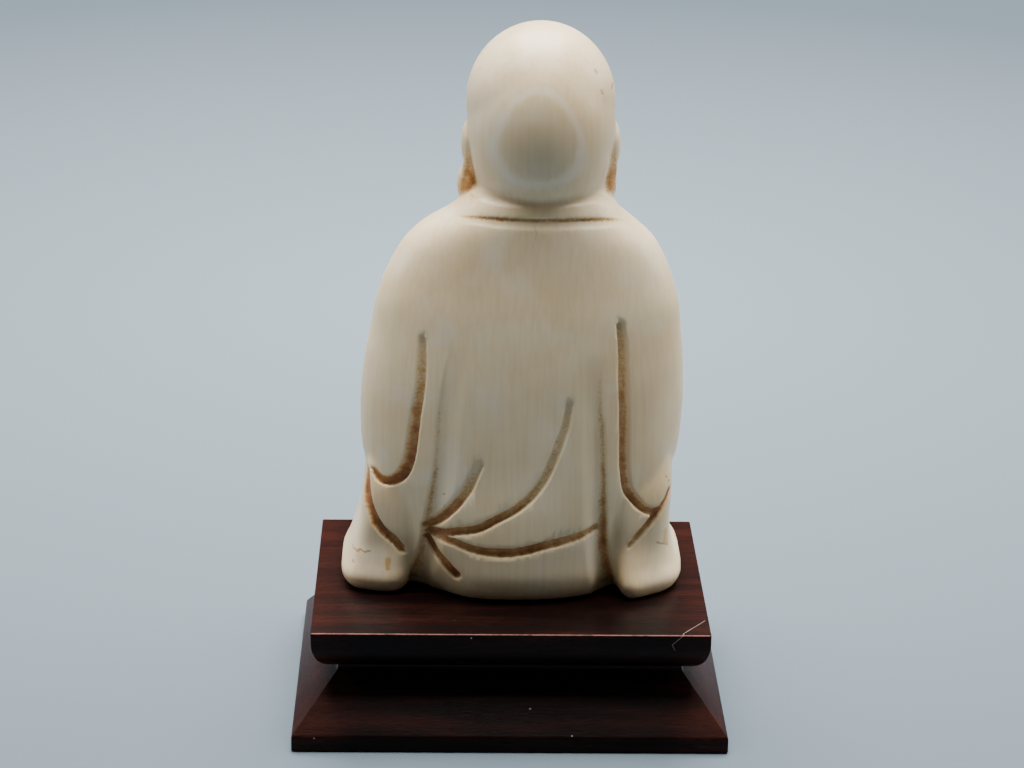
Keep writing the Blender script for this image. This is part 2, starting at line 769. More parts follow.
class Workshop:
    """Turns masses, limbs and lofts into meshes, in millimetres, and joins them into one skin."""

    def __init__(self) -> None:
        """Starts with an empty bench."""
        self.bench = bmesh.new()

    def add_mesh(self, mesh: bpy.types.Mesh, matrix: Matrix) -> None:
        """Lays a mesh on the bench and removes it from the file."""
        mesh.transform(matrix)
        self.bench.from_mesh(mesh)
        bpy.data.meshes.remove(mesh)

    def add_mass(self, mass: Mass) -> None:
        """Lays an ellipsoid on the bench.

        Args:
            mass: Its place, radii and turn.
        """
        form = bmesh.new()
        bmesh.ops.create_uvsphere(form, u_segments=64, v_segments=40, radius=1.0)
        turn = Matrix.Rotation(math.radians(mass.turn), 4, "Z")
        matrix = Matrix.Translation(mass.place) @ turn @ Matrix.Diagonal((*mass.radii, 1.0))
        self.add_mesh(mesh_of(form, "mass"), matrix)

    def add_limb(self, limb: Limb) -> None:
        """Lays a tapered round form with round ends on the bench.

        Args:
            limb: Its points and radii.
        """
        path, shares = smooth_path(limb.points)
        thickness = evenly(limb.radii, shares)
        curve = bpy.data.curves.new("limb", "CURVE")
        curve.dimensions = "3D"
        curve.bevel_depth = 1.0
        curve.bevel_resolution = 8
        curve.use_fill_caps = True
        spline = curve.splines.new("POLY")
        spline.points.add(len(path) - 1)
        for point, place, radius in zip(spline.points, path, thickness):
            point.co = (*place, 1.0)
            point.radius = radius
        item = add_object("limb", curve)
        self.add_mesh(plain_mesh(item), Matrix.Identity(4))
        bpy.data.objects.remove(item, do_unlink=True)
        for end, radius in ((path[0], limb.radii[0]), (path[-1], limb.radii[-1])):
            self.add_mass(Mass(tuple(end), (radius, radius, radius)))

    def add_loft(self, loft: Loft) -> None:
        """Lays a form skinned over its level rings on the bench.

        Args:
            loft: The form's levels.
        """
        form = bmesh.new()
        rows = [[form.verts.new(point) for point in loft.ring(row)] for row in loft.rows()]
        for lower, upper in zip(rows, rows[1:]):
            for index in range(loft.ring_points):
                following = (index + 1) % loft.ring_points
                form.faces.new((lower[index], lower[following], upper[following], upper[index]))
        form.faces.new(list(reversed(rows[0])))
        form.faces.new(rows[-1])
        self.add_mesh(mesh_of(form, "loft"), Matrix.Identity(4))

    def fuse(self, grain: float, rounds: int) -> bpy.types.Mesh:
        """Joins what lies on the bench into one skin of even grain and softens it.

        Args:
            grain: The size of the skin's faces.
            rounds: How many times the skin is softened.

        Returns:
            The skin. It is also left on the bench.
        """
        bmesh.ops.triangulate(self.bench, faces=self.bench.faces)
        joined = bpy.data.meshes.new("skin")
        self.bench.to_mesh(joined)
        item = add_object("skin", joined)
        skin = item.modifiers.new("one skin", "REMESH")
        skin.mode = "VOXEL"
        skin.voxel_size = grain
        soften = item.modifiers.new("soften", "SMOOTH")
        soften.factor = 0.5
        soften.iterations = rounds
        fused = plain_mesh(item)
        bpy.data.objects.remove(item, do_unlink=True)
        self.bench.clear()
        self.bench.from_mesh(fused)
        return fused


class Skin:
    """The skin of the figurine, which the carving sinks along its normals, and its stain."""

    # A groove's reach as a share of its width, how round its bowl is, and its width where it fades.
    SEARCH_REACH = 1.8
    BOWL_POWER = 2.6
    NARROWEST_SHARE = 0.45
    # The tool's strokes for each point of a run, and the depth over which a mound comes in.
    GROOVE_STROKES = 9
    RECESS_STROKES = 3
    MOUND_DEPTH = 4.0

    def __init__(self, mesh: bpy.types.Mesh, flank_depth: float) -> None:
        """Reads the skin's places and normals.

        Args:
            mesh: The skin, in millimetres.
            flank_depth: How far past the middle a fold on one side reaches round the flanks.
        """
        self.mesh = mesh
        self.flank_depth = flank_depth
        flat = np.empty(len(mesh.vertices) * 3)
        mesh.vertices.foreach_get("co", flat)
        self.drawn = flat.reshape(-1, 3).copy()
        mesh.vertices.foreach_get("normal", flat)
        self.normals = flat.reshape(-1, 3).copy()
        self.sink, self.forward, self.stain = np.zeros((3, len(self.drawn)))
        self.random = np.random.default_rng(5)

    def facing(self, direction: Point, low: float = 0.0, high: float = 0.3) -> np.ndarray:
        """Returns 1 where the skin faces a direction, and 0 where it faces away."""
        return smoothstep(low, high, self.normals @ np.array(Vector(direction).normalized()))

    def measure(self, run: Run, reach: float, side: Side) -> tuple[np.ndarray, np.ndarray, np.ndarray]:
        """Finds the skin near a run drawn on one side.

        Args:
            run: The run's points, across and up.
            reach: How far from the run the skin is looked for.
            side: The side that the run is drawn on.

        Returns:
            The skin's indices, its distance from the run, positive on the left, and its share along it.
        """
        path, shares = smooth_path(run)
        flat = self.drawn[:, (0, 2)]
        inside = ((flat > path.min(axis=0) - reach) & (flat < path.max(axis=0) + reach)).all(axis=1)
        index = np.nonzero(inside & (self.drawn[:, 1] * side.value > self.flank_depth))[0]
        spots = flat[index]
        best = np.full(len(index), np.inf)
        signed = np.zeros(len(index))
        along = np.zeros(len(index))
        for start in range(len(path) - 1):
            a = path[start]
            step = path[start + 1] - a
            share = np.clip(((spots - a) @ step) / (step @ step), 0.0, 1.0)
            off = spots - (a + share[:, None] * step)
            distance = np.hypot(off[:, 0], off[:, 1])
            closer = distance < best
            best[closer] = distance[closer]
            turn = step[0] * (spots[:, 1] - a[1]) - step[1] * (spots[:, 0] - a[0])
            signed[closer] = np.copysign(distance, turn)[closer]
            along[closer] = (shares[start] + share * (shares[start + 1] - shares[start]))[closer]
        return index, signed, along

    def groove(self, fold: Fold, side: Side) -> None:
        """Cuts a fold's groove and stains it.

        Args:
            fold: The groove.
            side: The side that it is drawn on.
        """
        index, signed, along = self.measure(fold.run, fold.width * self.SEARCH_REACH, side)
        size = evenly(fold.swell, along)
        narrowing = self.NARROWEST_SHARE + (1.0 - self.NARROWEST_SHARE) * size
        half = fold.width / 2 * narrowing * (1.0 + fold.lean * np.sign(signed))
        share = np.abs(signed) / half
        facing = self.facing((0, side.value, 0))[index]
        bowl = np.clip(1.0 - share ** self.BOWL_POWER, 0.0, 1.0)
        self.sink[index] = np.maximum(self.sink[index], fold.depth * size * bowl * facing)
        # The tool's strokes draw the stain out over the softer wall.
        stroke = evenly(self.random.random(self.GROOVE_STROKES * len(fold.run)), along)
        softer = smoothstep(-0.2, 0.3, signed * np.sign(fold.lean) / half)
        reach = 1.0 + softer * (fold.soft_reach * (0.9 + 0.25 * stroke) - 1.0)
        colour = smoothstep(reach, reach * (0.72 - 0.3 * softer), share) * (0.92 + 0.08 * stroke)
        self.stain[index] = np.maximum(self.stain[index], evenly(fold.stain, along) * colour * facing)

    def recess(self, fold: Fold, inner: int) -> None:
        """Sinks the back on the inner side of a sleeve's edge and lets it rise again.

        Args:
            fold: The edge's run, with the recess's width and depth, swell and stain.
            inner: The sign of the side that sinks.
        """
        index, signed, along = self.measure(fold.run, fold.width, Side.BACK)
        size = evenly(fold.swell, along)
        inward = signed * inner
        wall = smoothstep(-0.22, 0.22, inward)
        rise = 1.0 - smoothstep(0.3 * fold.width, fold.width, inward)
        ends = smoothstep(0.0, 0.04, along) * smoothstep(1.0, 0.96, along)
        facing = self.facing((0, 1, 0))[index]
        self.sink[index] += fold.depth * size * wall * rise * ends * facing
        stroke = evenly(self.random.random(self.RECESS_STROKES * len(fold.run)), along)
        stain_reach = 0.6 + (0.7 + 0.2 * stroke) * size
        colour = smoothstep(-0.25, 0.1, inward) * smoothstep(stain_reach, 0.1, inward)
        colour *= evenly(fold.stain, along) * (0.8 + 0.2 * stroke)
        self.stain[index] = np.maximum(self.stain[index], colour * ends * facing)

    def raise_face(self, mound: Mound) -> None:
        """Raises a soft mound on the face, or sinks a hollow there."""
        ahead = smoothstep(0.0, -self.MOUND_DEPTH, self.drawn[:, 1]) * self.facing((0, -1, 0), 0.0, 0.4)
        self.sink -= mound.over(self.drawn) * ahead

    def set_in(self, mound: Mound) -> None:
        """Moves part of the back evenly forward, its underside too."""
        self.forward -= mound.over(self.drawn) * smoothstep(0.0, self.MOUND_DEPTH, self.drawn[:, 1])

    def finish(self) -> None:
        """Writes the carved places and the stain to the mesh."""
        moved = self.drawn - self.normals * self.sink[:, None]
        moved[:, 1] -= self.forward
        self.mesh.vertices.foreach_set("co", moved.ravel())
        stain = self.mesh.attributes.new("stain", "FLOAT", "POINT")
        stain.data.foreach_set("value", self.stain.astype(np.float32))
        self.mesh.update()


@dataclass(frozen=True)
class EarGap:
    """The gap behind an ear's lobe and the stain in it, from the head's middle line and the seat."""

    line: float = 9.0
    half_width: float = 0.7
    blend: float = 0.7
    place: float = -1.6
    half_length: float = 1.0
    depth: float = 0.25
    foot: Point = (49.5, 51.5)
    top: Point = (58.5, 55.5)
    # The stain's inner edge, its outer edge at the top, what that gains at the foot, and its ends.
    stain_inner: Point = (8.1, 8.5)
    stain_outer: Point = (9.7, 9.2)
    stain_spread: Point = (0.8, 0.7)
    stain_front: Point = (-5.0, -3.6)
    stain_foot: Point = (50.6, 51.8)
    stain_top: Point = (57.6, 56.4)
    lowering: Point = (57.5, 50.5)
    stain_least: float = 0.35
    stain_gain: float = 0.25

    def cut(self, skin: Skin, middle: float, flank: Flank) -> None:
        """Cuts the gap behind one ear's lobe and stains it.

        Args:
            skin: The skin that is carved.
            middle: The head's middle line.
            flank: The side of the head.
        """
        outward = (skin.drawn[:, 0] - middle) * flank.value
        depth, height = skin.drawn[:, 1], skin.drawn[:, 2]
        close = smoothstep(self.half_width + self.blend, self.half_width, np.abs(outward - self.line))
        behind = np.exp(-((depth - self.place) / self.half_length) ** 2)
        tall = smoothstep(*self.foot, height) * smoothstep(*self.top, height)
        skin.sink += self.depth * close * behind * tall * skin.facing((flank.value, 1, 0), 0.2, 0.6)
        # The stain behind the lobe widens and deepens towards its foot.
        low = smoothstep(*self.lowering, height)
        outer = [edge + spread * low for edge, spread in zip(self.stain_outer, self.stain_spread)]
        strip = smoothstep(*self.stain_inner, outward) * smoothstep(*outer, outward)
        strip *= smoothstep(*self.stain_front, depth) * smoothstep(*self.stain_foot, height)
        strip *= smoothstep(*self.stain_top, height) * skin.facing((0, 1, 0), -0.1, 0.3)
        skin.stain = np.maximum(skin.stain, strip * (self.stain_least + self.stain_gain * low))


# Where each knee's middle line lies, and how far each ear's lobe stands out.
LAP_LINES = {Flank.LEFT: -0.6, Flank.RIGHT: -1.2}
LOBE_SPREADS = {Flank.LEFT: 0.7, Flank.RIGHT: -0.2}


@dataclass
class Figurine:
    """The seated figure in its robe, carved from one piece.

    Its places are in millimetres from the middle of its seat. It faces -Y and its left is +X.
    """

    seat: float
    grain: float = 0.2
    body_rounds: int = 24
    detail_rounds: int = 5
    most_triangles: int = 190_000
    flank_depth: float = -4.0
    head_x: float = -3.3
    lap_x: float = -0.9

    robe: Loft = Loft((
        (0.0, 14.6, -15.0, 8.5, -13.0),
        (1.6, 15.2, -15.8, 9.5, -13.6),
        (6.0, 15.4, -16.2, 9.9, -13.4),
        (11.0, 16.2, -17.6, 9.8, -12.4),
        (16.0, 18.6, -20.8, 9.4, -11.8),
        (23.2, 19.3, -21.9, 9.0, -11.6),
        (30.0, 18.7, -21.8, 8.5, -10.6),
        (34.1, 17.9, -21.4, 8.0, -9.9),
        (38.1, 17.1, -20.9, 7.4, -9.3),
        (40.7, 16.2, -20.1, 6.9, -8.9),
        (43.4, 14.9, -19.0, 6.4, -8.3),
        (46.0, 13.1, -17.4, 6.0, -7.5),
        (48.0, 10.7, -15.2, 5.7, -6.8),
        (49.4, 8.2, -13.5, 5.4, -6.2),
        (51.2, 6.1, -12.1, 4.8, -5.8),
        (52.5, 4.4, -10.7, 3.7, -5.2),
    ), squareness=2.35, widest=-1.6)
    left_sleeve: Loft = Loft((
        (0.0, 20.9, 13.4, 6.8, -8.0, 2.0),
        (1.4, 21.8, 12.6, 7.8, -8.6, 2.2),
        (4.0, 20.9, 12.3, 7.2, -8.6, 1.8),
        (6.6, 20.1, 11.8, 6.6, -8.6, 1.4),
        (9.3, 19.4, 11.4, 6.5, -8.6, 1.0),
        (14.0, 18.8, 10.8, 5.8, -8.2, 0.5),
        (19.0, 17.9, 11.4, 3.4, -6.6, 0.0),
        (24.0, 16.2, 12.4, 0.9, -3.6, 0.0),
    ), squareness=4.2, widest=0.5, outward=Flank.LEFT.value)
    right_sleeve: Loft = Loft((
        (0.0, -14.3, -21.5, 9.1, -8.0, 4.8),
        (1.4, -13.6, -22.5, 9.9, -8.6, 5.0),
        (4.0, -13.3, -21.3, 8.9, -8.6, 4.2),
        (6.6, -13.2, -20.8, 7.9, -8.6, 3.2),
        (9.3, -13.1, -20.6, 7.7, -8.6, 2.4),
        (14.0, -12.8, -20.7, 6.8, -8.2, 1.2),
        (19.0, -13.4, -20.4, 3.8, -6.6, 0.0),
        (24.0, -14.4, -18.7, 1.2, -3.6, 0.0),
    ), squareness=4.2, widest=0.5, outward=Flank.RIGHT.value)

    lap_masses: tuple[Mass, ...] = (
        Mass((11.6, -8.6, 3.4), (7.6, 8.2, 6.4), -14),
        Mass((5.5, -11.4, 2.6), (9.0, 5.2, 5.2), 16),
        Mass((12.4, -8.0, 10.8), (4.8, 5.0, 6.2)),
    )
    forearm: Limb = Limb(((14.6, -2.4, 18.0), (13.4, -8.0, 15.8), (9.6, -10.8, 14.2)), (4.6, 4.5, 4.3))
    wrist: Limb = Limb(((10.5, -10.6, 14.2), (7.6, -12.0, 13.2), (5.0, -12.9, 12.2)), (2.7, 2.5, 2.3))
    head_masses: tuple[Mass, ...] = (
        Mass((0.0, -3.7, 59.6), (9.3, 10.3, 12.7)),
        Mass((0.1, -4.1, 62.6), (9.35, 9.6, 9.85)),
        Mass((0.0, -3.0, 56.2), (9.0, 8.7, 8.4)),
        Mass((0.0, -7.0, 55.8), (7.5, 6.8, 6.2)),
        Mass((0.0, -2.7, 50.0), (8.3, 6.6, 9.0)),
    )
    face_masses: tuple[Mass, ...] = (
        Mass((0.0, -13.7, 58.4), (0.95, 1.3, 3.2)),
        Mass((0.0, -14.5, 56.4), (1.1, 1.2, 1.0)),
        Mass((0.0, -13.3, 53.9), (2.1, 0.9, 0.55)),
        Mass((0.0, -13.0, 53.0), (1.7, 0.9, 0.6)),
        Mass((0.0, -11.5, 51.2), (2.6, 1.7, 1.5)),
    )
    paired_masses: tuple[Mass, ...] = (
        Mass((1.3, -13.8, 56.1), (0.85, 0.9, 0.8)),
        Mass((8.9, -4.0, 57.0), (1.1, 2.1, 3.2)),
    )
    ear_rim: Limb = Limb(((9.0, -3.8, 58.8), (8.9, -3.0, 55.4), (8.7, -3.4, 51.8)), (0.8, 0.8, 1.0))
    lobe: Mass = Mass((8.8, -3.5, 52.0), (1.0, 1.5, 2.3))
    palms: tuple[Mass, ...] = (
        Mass((3.4, -13.4, 10.6), (3.4, 2.9, 1.5)),
        Mass((-5.6, -13.3, 12.4), (3.4, 2.9, 1.5)),
    )
    fingers: tuple[Run, ...] = (
        ((3.0, 0.0, 10.6), (-2.0, -0.2, 10.3), (-5.6, 0.0, 10.5)),
        ((-5.2, 0.0, 12.3), (-0.6, -0.2, 12.2), (2.8, 0.0, 12.5)),
    )
    thumbs: tuple[Limb, ...] = (
        Limb(((5.2, -14.8, 11.8), (2.4, -15.8, 13.4), (-0.8, -15.9, 14.5)), (1.0, 0.9, 0.75)),
        Limb(((-7.4, -14.8, 13.0), (-4.8, -15.8, 14.0), (-2.0, -15.9, 14.5)), (1.0, 0.9, 0.75)),
    )
    finger_radii: Point = (0.85, 0.85, 0.7)
    finger_rows: Point = (-15.6, -14.15, -12.7, -11.25)

    back_folds: tuple[Fold, ...] = (
        # Where the head meets the collar, and under the collar.
        Fold(((5.4, 51.0), (4.5, 51.8), (2.0, 51.8), (-2.5, 51.8), (-7.9, 51.9), (-10.3, 51.7),
              (-11.8, 50.9)), 1.25, 0.2, (0.3, 1, 1, 1, 0.3), (0.35, 0.2, 0.15, 0.15, 0.3)),
        Fold(((6.6, 49.4), (4.7, 49.6), (2.4, 49.7), (-2.3, 49.75), (-7.0, 49.7), (-9.8, 49.5),
              (-12.2, 49.1), (-13.8, 48.6)), 1.5, 0.3, (0.1, 0.8, 1, 1, 0.8, 0.1),
             (0.5, 0.7, 0.6, 0.6, 0.6, 0.45), lean=0.6, soft_reach=0.18),
        # Down the left arm, turning out under the elbow, and down the right one.
        Fold(((11.1, 34.5), (11.1, 31.2), (11.3, 28.0), (11.8, 24.7), (12.3, 20.3), (12.7, 18.2),
              (13.5, 16.3), (14.7, 15.1), (15.7, 14.8), (16.7, 15.1), (17.5, 15.9)), 1.4, 0.8,
             (0.5, 0.8, 0.9, 1, 1.1, 1.2, 0.5), (0.35, 0.5, 0.55, 0.75, 0.85, 0.9, 0.75),
             lean=0.5, soft_reach=1.25),
        Fold(((-13.1, 36.6), (-13.4, 33.5), (-13.6, 28.4), (-13.8, 24.4), (-13.9, 19.5), (-14.1, 17.0),
              (-14.5, 14.8), (-15.2, 13.5), (-16.4, 12.1), (-17.6, 11.4), (-18.7, 11.3)), 1.4, 0.8,
             (0.8, 1, 1, 1, 1, 1, 0.8), (0.45, 0.5, 0.6, 0.65, 0.75, 0.8, 0.7), lean=-0.4),
        # Across the hanging sleeves, left and right.
        Fold(((18.2, 16.1), (18.1, 13.6), (17.8, 11.9), (17.0, 10.0), (16.0, 8.6), (14.8, 7.6), (13.7, 6.3)),
             1.3, 0.65, (0.2, 0.7, 1, 1, 0.9), (0.8, 0.95, 0.9, 0.8, 0.65), lean=0.4, soft_reach=1.3),
        Fold(((-20.2, 14.0), (-19.8, 13.0), (-19.1, 11.9), (-18.2, 10.9), (-17.2, 9.6), (-16.2, 8.5),
              (-15.1, 7.2)), 1.2, 0.65, (0.3, 0.9, 1, 0.9, 0.5), (0.9, 0.9, 0.8, 0.65, 0.45), lean=-0.3),
        # Gathered at the left hip, from the topmost to the lowest.
        Fold(((10.8, 9.8), (9.2, 10.8), (7.7, 12.3), (6.6, 13.6), (5.4, 15.4), (4.6, 17.2), (4.0, 18.7)), 1.6,
             0.7, (0.6, 0.9, 1, 1, 0.7), (0.8, 0.8, 0.7, 0.45, 0.2), lean=-0.3),
        Fold(((10.8, 9.0), (8.9, 9.2), (6.5, 9.8), (4.2, 10.3), (1.9, 11.6), (-0.4, 12.9), (-2.4, 14.6),
              (-4.1, 17.0), (-5.2, 19.5), (-6.0, 21.8), (-6.7, 24.0), (-7.1, 26.9)), 1.35, 0.75,
             (0.8, 1, 1, 1, 1, 0.9, 0.6), (0.9, 0.8, 0.75, 0.5, 0.4, 0.35, 0.25), lean=-0.1),
        Fold(((10.8, 9.0), (9.1, 8.7), (7.1, 8.4), (4.8, 7.7), (2.5, 7.4), (0.1, 7.4), (-2.2, 7.8),
              (-4.5, 8.4), (-6.8, 8.9), (-9.2, 9.5), (-11.2, 10.0)), 1.3, 0.65, (0.7, 0.8, 1, 1, 0.9, 0.6),
             (0.8, 0.7, 0.8, 0.85, 0.65, 0.6), lean=0.3, soft_reach=1.3),
        Fold(((11.0, 8.1), (10.0, 6.6), (8.8, 5.5), (7.7, 4.3), (6.9, 3.6)), 1.35, 0.65, (0.7, 1, 1, 1),
             (1.0, 0.85, 0.8, 1.0)),
    )
    left_edge: Fold = Fold(((7.7, 34.1), (8.5, 30.7), (9.0, 27.4), (9.4, 24.4), (9.6, 20.9), (9.8, 18.4),
                            (10.1, 16.2), (10.5, 13.6), (10.9, 11.2), (11.3, 8.5), (11.9, 5.7), (12.6, 2.9),
                            (13.2, -1.0)), 3.2, 0.55, (0.0, 0.45, 0.8, 1, 1.4, 1.8),
                           (0.15, 0.25, 0.35, 0.45, 0.55, 0.55, 0.55, 0.45))
    right_edge: Fold = Fold(((-11.3, 33.3), (-11.1, 31.0), (-11.0, 28.7), (-11.2, 25.2), (-11.5, 23.6),
                             (-11.7, 19.7), (-11.9, 16.6), (-12.0, 13.3), (-12.2, 10.6), (-12.3, 8.2),
                             (-12.7, 5.4), (-13.2, 2.2), (-13.8, -1.0)), 3.2, 0.55,
                            (0.0, 0.45, 0.8, 1, 1.4, 1.8), (0.2, 0.4, 0.55, 0.65, 0.8, 0.9, 0.75, 0.6))
    # The crossed lapels, each with its outer and inner edge.
    lapel_edges: tuple[Fold, ...] = (
        Fold(((6.6, 50.0), (5.6, 44.0), (2.8, 37.0), (-0.8, 31.0), (-4.2, 27.4)), 0.9, 0.45,
             (0.8, 1, 1, 1, 0.6), (0.6,)),
        Fold(((2.6, 51.0), (2.0, 46.0), (-0.4, 39.0), (-4.0, 33.0), (-7.6, 28.6)), 1.1, 0.7,
             (1, 1, 1, 0.9, 0.6), (0.7,)),
        Fold(((-13.2, 50.0), (-12.0, 44.0), (-9.6, 38.6), (-6.6, 34.0)), 0.9, 0.45,
             (0.8, 1, 1, 1, 0.6), (0.6,)),
        Fold(((-9.2, 51.0), (-8.6, 46.0), (-6.6, 41.0), (-3.4, 35.6)), 1.1, 0.7,
             (1, 1, 1, 0.9, 0.6), (0.7,)),
    )
    sash_edges: tuple[Fold, ...] = tuple(
        Fold(((11.0, top), (4.0, top - 1.1), (-2.0, top - 1.4), (-8.0, top - 1.1), (-14.0, top)), 0.8, 0.4,
             (0.4, 1, 1, 1, 0.4), (0.6,))
        for top in (27.8, 24.4)
    )
    knee_folds: tuple[Fold, ...] = tuple(
        Fold(run, 0.9, 0.5, (0.3, 1, 1, 0.4), (0.7,))
        for run in (((3.0, 8.6), (9.0, 8.2), (15.0, 5.2)), ((2.0, 6.2), (8.0, 4.6), (14.0, 1.6)),
                    ((1.0, 3.6), (4.4, 2.2), (8.0, 0.6)))
    )
    ear_gap: EarGap = EarGap()
    # The hollow beside the left sleeve's foot, the eye's socket and ball, and the hollow under the lip.
    sleeve_hollow: Mound = Mound((10.0, 0.0), (3.6, 5.5), -1.8)
    eye_mounds: tuple[Mound, ...] = (
        Mound((3.6, 60.1), (2.6, 1.6), -1.5),
        Mound((3.6, 59.7), (1.8, 1.0), 1.3),
    )
    lip_hollow: Mound = Mound((0.0, 52.1), (1.5, 0.6), -0.3)
    eye_folds: tuple[Fold, ...] = (
        Fold(((2.1, 59.3), (3.6, 58.9), (5.1, 59.3)), 0.55, 0.35, (0.4, 1, 1, 0.4), (0.5,)),
        Fold(((1.9, 60.8), (3.6, 61.2), (5.2, 60.6)), 0.5, 0.2, (0.3, 1, 1, 0.3), (0.3,)),
    )
    mouth: Fold = Fold(((-1.9, 53.5), (-0.9, 53.4), (0.0, 53.5), (0.9, 53.4), (1.9, 53.5)), 0.5, 0.3,
                       (0.3, 1, 1, 1, 0.3), (0.5,))

    def shape(self) -> bpy.types.Mesh:
        """Joins the figure's masses and lays its small forms on them.

        Returns:
            The figure's skin before it is carved, in millimetres.
        """
        shop = Workshop()
        for loft in (self.robe, self.left_sleeve, self.right_sleeve):
            shop.add_loft(loft)
        for flank, middle in LAP_LINES.items():
            for mass in self.lap_masses:
                shop.add_mass(mass.placed(flank, middle))
            shop.add_limb(self.forearm.placed(flank, middle))
        for mass in self.head_masses:
            shop.add_mass(mass.placed(Flank.LEFT, self.head_x))
        shop.fuse(self.grain * 1.5, self.body_rounds)
        for mass in self.face_masses:
            shop.add_mass(mass.placed(Flank.LEFT, self.head_x))
        for flank, middle in LAP_LINES.items():
            for mass in self.paired_masses:
                shop.add_mass(mass.placed(flank, self.head_x))
            spread = LOBE_SPREADS[flank]
            x, y, z = self.lobe.place
            shop.add_mass(Mass((x + spread, y, z), self.lobe.radii).placed(flank, self.head_x))
            top, middle_rim, (x, y, z) = self.ear_rim.points
            rim = Limb((top, middle_rim, (x + spread, y, z)), self.ear_rim.radii)
            shop.add_limb(rim.placed(flank, self.head_x))
            shop.add_limb(self.wrist.placed(flank, middle))
        for mass in self.palms:
            shop.add_mass(mass)
        for row in self.finger_rows:
            for finger in self.fingers:
                shop.add_limb(Limb(tuple((x, row + y, z) for x, y, z in finger), self.finger_radii))
        for thumb in self.thumbs:
            shop.add_limb(thumb)
        return shop.fuse(self.grain, self.detail_rounds)

    def carve(self, skin: Skin) -> None:
        """Cuts the folds, the face and the recesses.

        Args:
            skin: The skin that is carved.
        """
        for fold in self.back_folds:
            skin.groove(fold, Side.BACK)
        skin.recess(self.left_edge, -1)
        skin.recess(self.right_edge, 1)
        skin.set_in(self.sleeve_hollow)
        for fold in (*self.lapel_edges, *self.sash_edges):
            skin.groove(fold, Side.FRONT)
        for flank in Flank:
            for fold in self.knee_folds:
                skin.groove(fold.placed(flank, self.lap_x), Side.FRONT)
            for mound in self.eye_mounds:
                skin.raise_face(mound.placed(flank, self.head_x))
            for fold in self.eye_folds:
                skin.groove(fold.placed(flank, self.head_x), Side.FRONT)
            self.ear_gap.cut(skin, self.head_x, flank)
        skin.raise_face(self.lip_hollow.placed(Flank.LEFT, self.head_x))
        skin.groove(self.mouth.placed(Flank.LEFT, self.head_x), Side.FRONT)

    def build(self) -> bpy.types.Object:
        """Shapes, carves and finishes the figure.

        Returns:
            The figure's object, at the origin and in metres.
        """
        mesh = self.shape()
        skin = Skin(mesh, self.flank_depth)
        LOG.info("skin of %d points before it is carved", len(skin.drawn))
        self.carve(skin)
        skin.finish()
        item = add_object("ivory_figurine_carved", mesh)
        mesh.calc_loop_triangles()
        fewer = item.modifiers.new("fewer faces", "DECIMATE")
        fewer.ratio = min(1.0, self.most_triangles / len(mesh.loop_triangles))
        item.data = plain_mesh(item)
        item.modifiers.clear()
        self.flatten_base(item.data)
        item.data.transform(Matrix.Translation((0, 0, self.seat)) @ Matrix.Scale(MM, 4))
        item.data.shade_smooth()
        item.data.materials.append(CarvedIvory(self.seat / MM).make())
        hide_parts("ivory_figurine")
        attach(item, "root")
        return item

    def flatten_base(self, mesh: bpy.types.Mesh) -> None:
        """Cuts the figure off flat at its seat and closes the cut.

        Args:
            mesh: The figure's mesh, in millimetres.
        """
        form = bmesh.new()
        form.from_mesh(mesh)
        everything = [*form.verts, *form.edges, *form.faces]
        bmesh.ops.bisect_plane(form, geom=everything, dist=1e-4, plane_co=(0, 0, 0), plane_no=(0, 0, -1),
                               clear_outer=True)
        rim = [edge for edge in form.edges if edge.is_boundary]
        bmesh.ops.holes_fill(form, edges=rim, sides=0)
        bmesh.ops.triangulate(form, faces=[face for face in form.faces if len(face.verts) > 3])
        bmesh.ops.recalc_face_normals(form, faces=form.faces)
        form.to_mesh(mesh)
        form.free()


